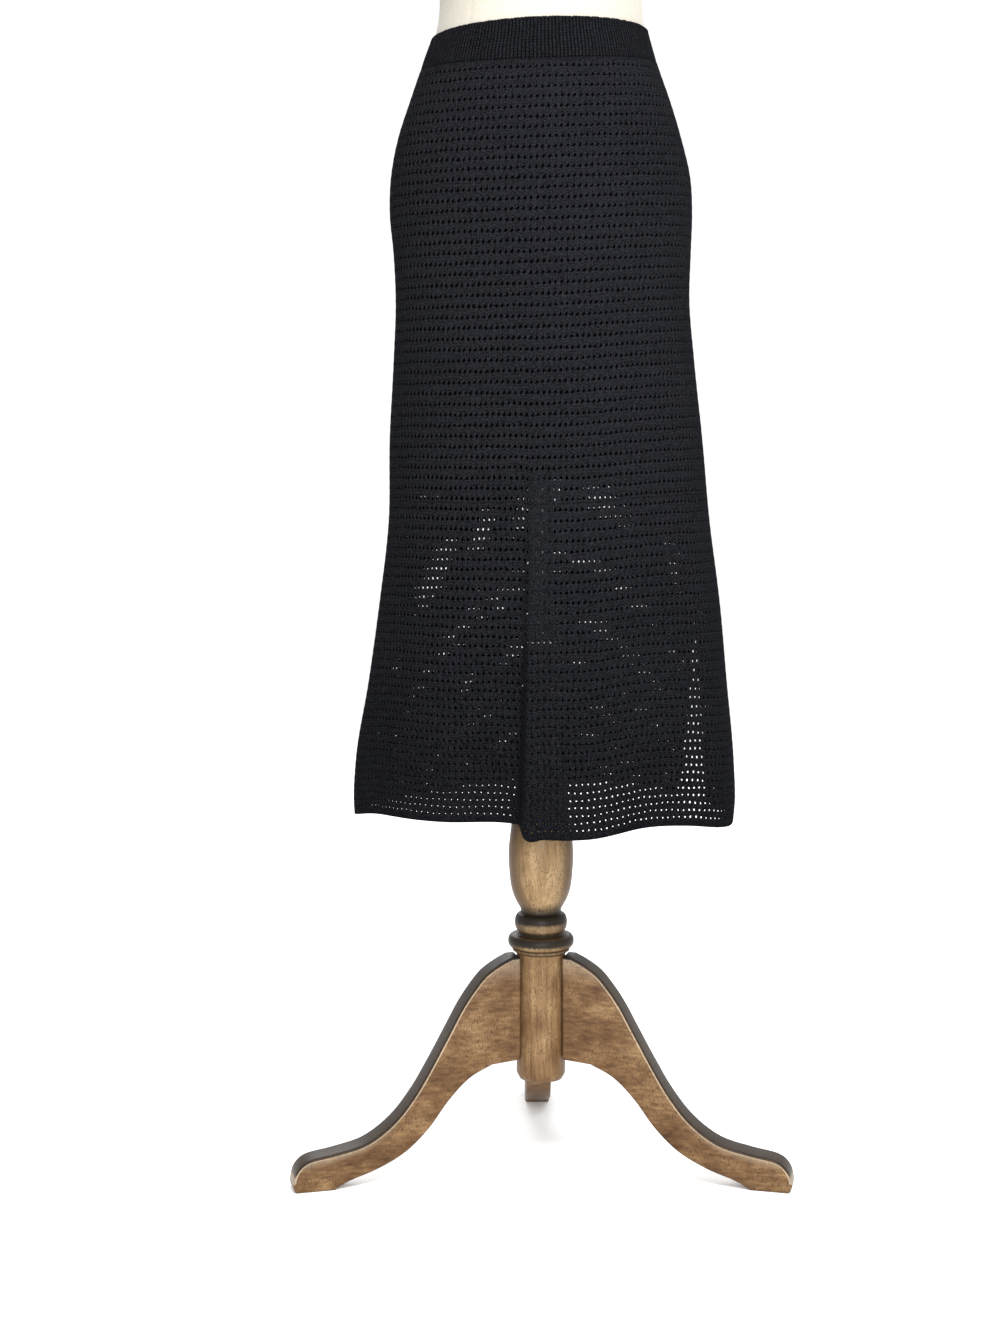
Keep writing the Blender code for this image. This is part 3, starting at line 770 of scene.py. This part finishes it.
def yarn_finish(name, stitches_across, stitches_up, ridge):
    """Matte black yarn in V-shaped stitches, laid by the knit place and depth of each point."""
    material, place = new_finish(name, 1.0, specular=0.015)
    knit = place.node("UVMap", {"uv_map": "knit_place"}, {})
    depth = place.node("UVMap", {"uv_map": "knit_depth"}, {}).part("X")
    sway = place.noise(360.0, detail=2.0, roughness=0.6) - 0.5
    across, up = knit.part("X") + sway * 0.55, knit.part("Y") + sway * 0.16
    fibre = place.noise(1500.0, detail=3.0, roughness=0.75)
    tufts = place.noise(560.0, detail=3.0, roughness=0.65)
    patches = place.noise(10.0, detail=3.0, roughness=0.55)
    stitch = abs((across * stitches_across).maths("FRACT") - 0.5) * 2.0
    legs = 1.0 - abs(stitch - 0.5) * 2.0
    loops = abs(((up * stitches_up + stitch * 0.70) * math.pi).maths("SINE"))
    knots = legs.between(-0.4, 0.8) * loops.between(0.0, 0.9)
    row_line = 1.0 - abs((up * math.pi).maths("SINE")).between(0.0, 0.24)
    relief = knots * 0.55 + tufts * 0.65 + fibre * 0.30 + row_line * ridge * 0.7
    # Besides random tufts, fibres and patches, the tone follows the knots and the row ridge of the relief: a
    # painted shade in the grooves between them
    tone = knots * 0.36 + tufts.between(0.32, 0.70) * 0.60 + fibre.between(0.35, 0.75) * 0.26
    tone = tone + row_line * ridge * 0.24 + patches * 0.18 - 0.23
    # Painted shade toward the hem
    tone = tone - up.between(HEM_SHADE_FROM, HEM_SHADE_TO) * HEM_SHADE
    yarn = tone.clamped().blend(YARN_DARK, YARN_LIGHT)
    # By its depth the yarn takes a painted shade: dark in the holes, on the inner face and between the ribs
    return finished(
        material,
        Base_Color=depth.between(0.10, 0.95).blend(yarn, YARN_HOLE_SHADE),
        Normal=bumped(relief, 0.0015),
    )


band_angles = 180.0 + 360.0 * np.arange(RIBS * RIB_POINTS) / (RIBS * RIB_POINTS)
rib_phase = 2 * np.pi * np.arange(RIBS * RIB_POINTS) / RIB_POINTS
uneven = np.random.default_rng(7)
rib_height = np.repeat(uneven.uniform(0.75, 1.15, RIBS), RIB_POINTS)
rib_end = np.repeat(uneven.uniform(-0.0003, 0.0004, RIBS), RIB_POINTS)
rib_shape = (0.5 + 0.5 * np.cos(rib_phase)) ** 0.8 * rib_height
# Depth for a painted shade in the valleys between the ribs
rib_valley = np.stack([0.80 * (1 - rib_shape / rib_height), np.zeros(rib_shape.shape)], 1)
band_points, band_coords = [], []


def add_band_row(heights, outs, share, wander=0.0):
    """One row of the waistband's points, and their places in the knit."""
    band_points.append(section(band_angles + wander, heights, outs))
    stitch = np.full(heights.shape, share * BAND_STITCHES)
    band_coords.append(np.stack([band_angles / 360 * RIBS, stitch], 1))


for share in np.arange(BAND_ROWS + 1) / BAND_ROWS:  # the ribbed outside, from the top edge down
    wander = 0.10 * np.sin(share * 9.0 + np.radians(band_angles) * 5)
    heights = band_level(band_angles, share) - BAND_FOLD * (1 - share)
    snug = BAND_FULL * np.sin(math.pi * share) - BAND_DRAWN * ease((share - 0.9) / 0.1)
    add_band_row(heights, BAND_OUT + RIB_RISE * rib_shape + snug, share, wander)
for share in np.linspace(1.0, 0.05, 8):  # the smooth inside, back up
    add_band_row(band_level(band_angles, share), CLEAR, share)
for turn in np.linspace(0.25, 0.85, 4):  # the fold at the top edge, where each rib ends in a bump
    fold = math.pi * turn
    over = BAND_WALL / 2 * (1 - math.cos(fold))
    bump = (rib_shape * 0.0004 + rib_end) * math.sin(fold)
    heights = band_height(band_angles) - BAND_FOLD + BAND_FOLD * math.sin(fold) + bump
    add_band_row(heights, CLEAR + over + RIB_RISE * rib_shape * max(turn - 0.3, 0.0), 0.0)
band_mesh = tube_mesh("rib_waistband", band_points, closed_along=True)
lay_coords(band_mesh, np.concatenate(band_coords), "knit_place")
lay_coords(band_mesh, np.tile(rib_valley, (len(band_points), 1)), "knit_depth")
band_piece = place_piece(
    "rib_waistband", band_mesh, yarn_finish("rib_yarn", 1.0, 1.0, 0.0), "rib_knit", "waistband"
)

# ----------------------------------------
# Net panels: front and back in openwork knit, rows of small upright holes with a thin ridge
# between them, flared to a narrow solid hem. The back is left open low in the right seam. Every
# hole is cut through the cloth, and each panel is meshed in an upper and a lower part.
NET_WALL = 0.002
NET_OUT = LINING_OUT + SEAT + NET_WALL
SEAM_RIGHT = 117.0
SEAM_LEFT = -110.0
SLIT_TOP = 0.593
SLIT_SPREAD = 15.0
FOLD_TOP = 0.93
FOLD_EDGE_TOP = -0.003
FOLD_EDGE_HEM = -0.018
FOLD_TURN = 0.010
FOLD_LIP = 0.015
FOLD_LIP_RUN = 0.070
FOLD_HOLLOW = 0.013
FOLD_HOLLOW_RUN = 0.045
WAVES_TOP = 0.85
LENGTH = SEAM - HEM
LOWER_PART = 0.440  # where the upper part of a panel's mesh ends, below the seam
SOLID_TOP = 0.0030
SOLID_HEM = 0.0055
EDGE_KEEP = 0.0022  # the solid selvedge beside a seam
# Height of the hem round the skirt
# angle, height
HEM_LINE = (
    (-180, 0.3860), (-150, 0.3800), (-120, 0.3735), (-90, 0.3715), (-60, 0.3815),
    (-30, 0.3825), (-9, 0.3810), (-7.2, 0.3800), (-5.8, 0.3724), (0, 0.3702),
    (12, 0.3684), (30, 0.3755), (46, 0.3740), (62, 0.3680), (80, 0.3655),
    (95, 0.3690), (117, 0.3735), (150, 0.3840), (180, 0.3860),
)
# Soft upright waves low in the skirt
# angle, half width in degrees, how far out
WAVES = (
    (36, 13, -0.0060), (63, 12, 0.0045), (-36, 14, 0.0045), (-62, 13, -0.0040),
    (142, 12, 0.0060), (164, 13, -0.0080), (190, 13, 0.0080), (216, 12, -0.0060),
)
# The net from the waist seam down: all in metres
# drop, row pitch, column pitch, hole width, hole height, lean, share of it open at its rim
NET = (
    (0.00, 0.0102, 0.0063, 0.0024, 0.0037, 0.0004, 0.70),
    (0.10, 0.0102, 0.0063, 0.0028, 0.0044, 0.0006, 0.70),
    (0.20, 0.0107, 0.0061, 0.0028, 0.0045, 0.0006, 0.70),
    (0.30, 0.0110, 0.0058, 0.0026, 0.0044, 0.0006, 0.73),
    (0.42, 0.0105, 0.0057, 0.0025, 0.0040, 0.0004, 0.82),
    (0.55, 0.0098, 0.0058, 0.0025, 0.0038, 0.0002, 0.72),
    (0.65, 0.0087, 0.0060, 0.0026, 0.0035, 0.0000, 0.56),
    (0.72, 0.0076, 0.0063, 0.0028, 0.0034, 0.0000, 0.46),
    (0.78, 0.0070, 0.0065, 0.0029, 0.0034, 0.0000, 0.43),
)
UNEVEN = (0.10, 0.07, 0.03, 0.00022)  # in a hole's width, height, place aside and lean
STAGGER = 0.11  # in columns, to the right and left in turn
HOLE_POINTS = 8
HOLE_TAPER = 0.18  # how much narrower a hole is at its top than half way down
LIP_GROW = 0.00040  # how far a hole's outer lip lies outside its size
LIP_OUT = 0.00008
RIM_SHARE = 0.45  # how deep in the wall a hole is narrowest
# Depths that darken the yarn: a painted shade in the holes and on the net's inner face
LIP_DEEP, RIM_DEEP, INSIDE_DEEP = 0.12, 1.0, 0.7  # their depth for the yarn's shade
BAR_RISE = 0.00030  # roundness of the upright bars between holes
ROW_RISE = 0.00012
HEM_ROLL = 0.00035
# Slow unevenness of the rows: how far up and down, turns along the row, turns from row to row
ROW_WOBBLE = ((0.00035, 95, 2.1), (0.00025, 260, -1.3))
TILT_MORE = 0.0030  # how much more the rows rise to the right over the hips
# Where the front's holes are wider or narrower, in metres along their row and below the seam
PULL_RUN = 0.12
PULL_LEFT, PULL_RIGHT = 0.24, 0.30
PULL_ENDS, PULL_ENDS_RUN, PULL_HEM = 0.64, 0.08, -0.42
PULL_SLIT, PULL_SLIT_ALONG, PULL_SLIT_HALF = 0.55, 0.165, 0.012
PULL_SLIT_FROM, PULL_SLIT_RUN = 0.52, 0.03


def hole_pull(along, drop):
    """How wide the front's holes are pulled: wider at the left and in front of the slit, and
    narrower at the right and, by the hem, at the left."""
    left = np.clip(-along / PULL_RUN, -1.0, 1.0)
    low = ease((drop - PULL_ENDS) / PULL_ENDS_RUN)
    high_share = 1 + np.where(left > 0, PULL_LEFT, PULL_RIGHT) * left
    low_share = 1 + PULL_HEM * np.maximum(left, 0.0)
    by_slit = np.exp(-(((along - PULL_SLIT_ALONG) / PULL_SLIT_HALF) ** 2))
    by_slit = by_slit * ease((drop - PULL_SLIT_FROM) / PULL_SLIT_RUN)
    return (high_share * (1 - low) + low_share * low) * (1 + PULL_SLIT * by_slit)


def cloth_move(angle, height, x):
    """How far the fold and the waves push the hanging cloth outward."""
    strength = np.maximum(WAVES_TOP - height, 0.0) ** 1.5 / (WAVES_TOP - HEM) ** 1.5
    push = np.zeros(np.shape(angle))
    for centre, half, out in WAVES:
        off = degrees_from(centre, angle)
        push = push + out * np.exp(-((off / half) ** 2))
    push = push * strength
    down = np.maximum(FOLD_TOP - height, 0.0) / (FOLD_TOP - HEM)
    across = x - (FOLD_EDGE_TOP + (FOLD_EDGE_HEM - FOLD_EDGE_TOP) * down)
    lip = FOLD_LIP * np.exp(-((np.maximum(across, 0) / FOLD_LIP_RUN) ** 2))
    beyond = np.minimum(across + FOLD_TURN, 0) / FOLD_HOLLOW_RUN
    hollow = -FOLD_HOLLOW * np.exp(-(beyond**2))
    turned = ease(-across / FOLD_TURN)
    fold = down**2 * (lip * (1 - turned) + hollow * turned)
    return push + np.where(np.cos(np.radians(angle)) > 0, fold, 0.0)


def row_height(angle, drop):
    """The height of a place on the net, drop metres below the waist seam."""
    down = drop / LENGTH
    hem = read(HEM_LINE, degrees_from(0, angle))[:, 0]
    return SEAM - drop + (seam_height(angle) - SEAM) * (1 - down**3) + (hem - HEM) * down**3


def net_point(angle, drop, out):
    """Points of the hanging net, out metres from its outer face."""
    return section(angle, row_height(angle, drop), NET_OUT + out, cloth_move)


class RowGuide:
    """Where a place on a panel lies, given along its row from the panel's middle, and below."""

    STEP = 0.004

    def __init__(self, middle, start, end):
        self.angles = np.arange(start - 12.0, end + 12.0, 0.5)
        self.middle, self.start, self.end = middle, start, end
        self.along = []
        for k in range(int(LENGTH / self.STEP) + 3):
            drop = np.full(self.angles.shape, min(k * self.STEP, LENGTH))
            points = net_point(self.angles, drop, 0.0)
            runs = np.linalg.norm(np.diff(points, axis=0), axis=1)
            run = np.concatenate([[0.0], np.cumsum(runs)])
            self.along.append(run - np.interp(middle, self.angles, run))

    def angle(self, along, drop):
        """The angle round the pole of places given along the row."""
        level = np.asarray(drop) / self.STEP
        low = level.astype(int)
        found = np.zeros(low.shape)
        for k in np.unique(low):
            mine = low == k
            upper = np.interp(along[mine], self.along[k], self.angles)
            lower = np.interp(along[mine], self.along[k + 1], self.angles)
            found[mine] = upper + (lower - upper) * (level[mine] - k)
        return found

    def run_to(self, angle, drop):
        """How far along its row the panel's edge lies at one drop."""
        k = int(drop / self.STEP)
        share = drop / self.STEP - k
        upper = np.interp(angle, self.angles, self.along[k])
        lower = np.interp(angle, self.angles, self.along[k + 1])
        return upper + (lower - upper) * share

    def edges(self, drop):
        """Both ends of the row at one drop, along it."""
        start = self.start
        if self.middle == 180.0:
            height = row_height(np.array([start]), np.array([drop]))[0]
            opened = max(SLIT_TOP - height, 0.0) / (SLIT_TOP - HEM)
            start += SLIT_SPREAD * opened
        return self.run_to(start, drop), self.run_to(self.end, drop)


def net_rows(first, last):
    """Row borders between two drops: holes between them, with a solid top and hem."""
    borders, solid = [0.0, SOLID_TOP], [True]
    while borders[-1] < LENGTH - SOLID_HEM - 0.004:
        borders.append(borders[-1] + float(read(NET, borders[-1])[0, 0]))
        solid.append(False)
    stretch = (LENGTH - SOLID_HEM - SOLID_TOP) / (borders[-1] - SOLID_TOP)
    borders[1:] = [SOLID_TOP + (b - SOLID_TOP) * stretch for b in borders[1:]]
    borders += [LENGTH - SOLID_HEM * 0.45, LENGTH]
    solid += [True, True]
    keep = [i for i, b in enumerate(borders) if first - 1e-9 <= b < last]
    top, bottom = keep[0], keep[-1] + (1 if last < LENGTH else 0)
    return np.array(borders[top : bottom + 1]), solid[top:bottom], top


class NetPart:
    """One part of a panel, as a closed mesh of the cloth with its holes cut through.

    Each face has corners on the row borders and sides half way down the rows, by half columns,
    m, from floor_m up, and two ends on each border. A hole takes the eight points round it.
    """

    def __init__(self, guide, first, last):
        self.guide, self.last = guide, last
        self.borders, self.solid, self.row_number = net_rows(first, last)
        self.count = len(self.solid)
        self.pitch = read(NET, self.borders)[:, 1]
        self.mid_drop = (self.borders[:-1] + self.borders[1:]) / 2
        self.mid_pitch = (self.pitch[:-1] + self.pitch[1:]) / 2
        self.edges = [guide.edges(b) for b in self.borders]
        self.ranges = self.hole_ranges()
        self.floor_m = 2 * min(low for low, high in self.ranges) - 2
        self.wide_m = 2 * max(high for low, high in self.ranges) + 3 - self.floor_m
        self.laid, self.total = [], 0
        self.quads, self.polygons = [], []

    def hole_ranges(self):
        """The first and last hole of each row. A solid row takes those of the row beside it."""
        ranges = []
        for r in range(self.count):
            low = max(self.edges[i][0] / self.pitch[i] for i in (r, r + 1))
            high = min(self.edges[i][1] / self.pitch[i] for i in (r, r + 1))
            keep = EDGE_KEEP / self.pitch[r] + 0.5
            ranges.append((math.ceil(low + keep), math.floor(high - keep)))
        for r in range(self.count):
            if self.solid[r]:
                ranges[r] = ranges[1] if r == 0 and self.count > 1 else ranges[r - 1]
        return ranges

    def span(self, row):
        """The first and last half column that one row's points take."""
        low, high = self.ranges[row]
        return 2 * low - 1 - self.floor_m, 2 * high + 1 - self.floor_m

    def lay(self, along, drop, out, column, row, depth):
        """Add points by their place on the cloth and in the knit. Gives their numbers."""
        values = np.broadcast_arrays(along, drop, out, column, row, depth)
        numbers = self.total + np.arange(values[0].size)
        self.laid.append(np.array([value.ravel() for value in values]))
        self.total += len(numbers)
        return numbers.reshape(values[0].shape)

    def lay_used(self, used, drop, pitch, out, down, depth):
        """Points where a grid of rows and half columns is used. Gives its numbers, or -1."""
        row, m = np.nonzero(used)
        halves = m + self.floor_m
        numbers = np.full(used.shape, -1)
        numbers[used] = self.lay(
            halves * pitch[row] / 2, drop[row], out[row], halves / 2,
            row + self.row_number + down, depth,
        )
        return numbers

    def lay_face(self, outside):
        """The cloth's outer or inner face: the numbers of its corners, sides and ends."""
        corner = np.zeros((self.count + 1, self.wide_m), bool)
        side = np.zeros((self.count, self.wide_m), bool)
        for r in range(self.count):
            first_m, last_m = self.span(r)
            corner[r : r + 2, first_m : last_m + 1] = True
            side[r, first_m : last_m + 1 : 2] = not self.solid[r]
        depth = 0.0 if outside else INSIDE_DEEP
        face_out = 0.0 if outside else -NET_WALL
        corner_out = np.full(self.count + 1, face_out)
        side_out = np.full(self.count, face_out)
        if outside:
            corner_out += ROW_RISE
            side_out += BAR_RISE
            if self.last >= LENGTH:
                corner_out[-2] = HEM_ROLL
        corners = self.lay_used(corner, self.borders, self.pitch, corner_out, 0.0, depth)
        sides = self.lay_used(side, self.mid_drop, self.mid_pitch, side_out, 0.5, depth)
        rows = np.arange(self.count + 1)[:, None] + self.row_number
        edges = np.array(self.edges)
        ends = self.lay(
            edges, self.borders[:, None], face_out, edges / self.pitch[:, None], rows, depth
        )
        return corners, sides, ends

    def cut_holes(self, outer, inner):
        """Every hole: a lip on the outer face, a narrow rim in the wall, and out at the back."""
        r, k = np.array([
            (row, column) for row, (low, high) in enumerate(self.ranges) if not self.solid[row]
            for column in range(low, high + 1)
        ]).T
        drop, spacing = self.mid_drop[r], self.mid_pitch[r]
        _, _, wide, high, lean, rim_share = read(NET, drop).T
        chance = np.random.default_rng(1000 + self.row_number)
        uneven = (chance.normal(0.0, 1.0, (len(r), 4)).clip(-2, 2) * UNEVEN).T
        half_wide = wide / 2 * (1 + uneven[0])
        half_high = high / 2 * (1 + uneven[1])
        hand = np.where((r + self.row_number) % 2 == 0, 1, -1)
        along = (k + (STAGGER * hand + uneven[2])) * spacing
        lean = lean + uneven[3]
        pulled = hole_pull(along, drop) if self.guide.middle == 0.0 else 1.0
        turns = np.radians(np.arange(HOLE_POINTS) * 360.0 / HOLE_POINTS)
        round_it = np.cos(turns) * (1 - HOLE_TAPER * np.sin(turns))
        rings = []
        for share, grow, out, depth in (
            (1.0, LIP_GROW, LIP_OUT, LIP_DEEP),
            (rim_share * pulled, 0.0, -NET_WALL * RIM_SHARE, RIM_DEEP),
        ):
            aside = (half_wide * share + grow)[:, None] * round_it
            up = (half_high * share + grow)[:, None] * np.sin(turns)
            ring_along = along[:, None] + aside + lean[:, None] * np.sin(turns)
            row = r[:, None] + self.row_number + 0.5 - up / np.diff(self.borders)[r][:, None]
            column = ring_along / spacing[:, None]
            rings.append(self.lay(ring_along, drop[:, None] - up, out, column, row, depth))
        m = 2 * k - self.floor_m
        chain = [self.points_round(outer, r, m), *rings, self.points_round(inner, r, m)]
        for a, b in zip(chain, chain[1:]):
            faces = np.stack([a, np.roll(a, -1, 1), np.roll(b, -1, 1), b], -1)
            self.quads.append(faces.reshape(-1, 4))

    def points_round(self, face, r, m):
        """The eight points of a face round each hole, from the right by way of the top."""
        corners, sides, _ = face
        return np.stack([
            sides[r, m + 1], corners[r, m + 1], corners[r, m], corners[r, m - 1],
            sides[r, m - 1], corners[r + 1, m - 1], corners[r + 1, m], corners[r + 1, m + 1],
        ], axis=1)

    def fill_face(self, face, outside):
        """What has no holes on one face: the strips beside the seams, and the solid rows."""
        corners, sides, ends = face
        for row in range(self.count):
            first_m, last_m = self.span(row)
            above, below = corners[row], corners[row + 1]
            left_side = [] if self.solid[row] else [sides[row, first_m]]
            right_side = [] if self.solid[row] else [sides[row, last_m]]
            top, bottom = used(above[: first_m + 1]), used(below[: first_m + 1])
            left = [ends[row + 1, 0], *bottom, *left_side, *top[::-1], ends[row, 0]]
            top, bottom = used(above[last_m:]), used(below[last_m:])
            right = [ends[row, 1], *top[::-1], *right_side, *bottom, ends[row + 1, 1]]
            self.polygons += [left, right] if outside else [left[::-1], right[::-1]]
            if self.solid[row]:
                m = np.arange(first_m, last_m)
                strip = np.stack([below[m], below[m + 1], above[m + 1], above[m]], -1)
                self.quads.append(strip if outside else strip[:, ::-1])

    def close_edges(self, outer, inner):
        """The cloth's thickness: down both seams, then along the top and the bottom."""
        (outer_corners, _, outer_ends), (inner_corners, _, inner_ends) = outer, inner
        for row in range(self.count):
            for hand in (0, 1):
                edge = [outer_ends[row, hand], inner_ends[row, hand]]
                edge += [inner_ends[row + 1, hand], outer_ends[row + 1, hand]]
                self.polygons.append(edge if hand == 0 else edge[::-1])
        for border in (0, self.count):
            a = [outer_ends[border, 0], *used(outer_corners[border]), outer_ends[border, 1]]
            b = [inner_ends[border, 0], *used(inner_corners[border]), inner_ends[border, 1]]
            for i in range(len(a) - 1):
                edge = [a[i], a[i + 1], b[i + 1], b[i]]
                self.polygons.append(edge if border == 0 else edge[::-1])

    def mesh(self, name):
        """The part knitted and hung in its place, its rows a little uneven."""
        outer, inner = self.lay_face(True), self.lay_face(False)
        self.cut_holes(outer, inner)
        self.fill_face(outer, True)
        self.fill_face(inner, False)
        self.close_edges(outer, inner)
        along, drop, out, column, row, depth = np.concatenate(self.laid, axis=1)
        wobble = sum(far * np.sin(along * a + row * b) for far, a, b in ROW_WOBBLE)
        within = (drop > SOLID_TOP * 1.5) & (drop < LENGTH - SOLID_HEM * 1.5)
        drop = drop + np.where(within, wobble, 0.0)
        angle = self.guide.angle(along, np.clip(drop, 0.0, LENGTH))
        down = drop / LENGTH
        hips = 4 * down * (1 - down) * (1 - down**2)
        points = net_point(angle, drop - TILT_MORE * np.sin(np.radians(angle)) * hips, out)
        faces = np.concatenate(self.quads).tolist()
        faces += [[int(i) for i in polygon] for polygon in self.polygons]
        mesh = bpy.data.meshes.new(name)
        mesh.from_pydata(points.tolist(), [], faces)
        mesh.shade_smooth()
        lay_coords(mesh, np.stack([column, row], 1), "knit_place")
        lay_coords(mesh, np.stack([depth, 0 * depth], 1), "knit_depth")
        return mesh

    def cut(self):
        """Its flat size and area before it is sewn."""
        widths = np.array([end - start for start, end in self.edges])
        area = float(np.sum((widths[1:] + widths[:-1]) / 2 * np.diff(self.borders)))
        return (float(widths.max()), float(self.borders[-1] - self.borders[0])), area


def used(numbers):
    """The numbers of the points that are there."""
    return [i for i in numbers if i >= 0]


net_yarn = yarn_finish("net_yarn", 1.0, 3.0, 1.0)
front_guide = RowGuide(0.0, SEAM_LEFT, SEAM_RIGHT)
back_guide = RowGuide(180.0, SEAM_RIGHT, SEAM_LEFT + 360.0)
for panel, guide in (("front", front_guide), ("back", back_guide)):
    for half, first, last in (("upper", 0.0, LOWER_PART), ("lower", LOWER_PART, LENGTH + 1.0)):
        name = f"net_{panel}_{half}"
        part = NetPart(guide, first, last)
        piece = place_piece(name, part.mesh(name), net_yarn, "net_knit", f"{panel}_panel")
        flat, area = part.cut()
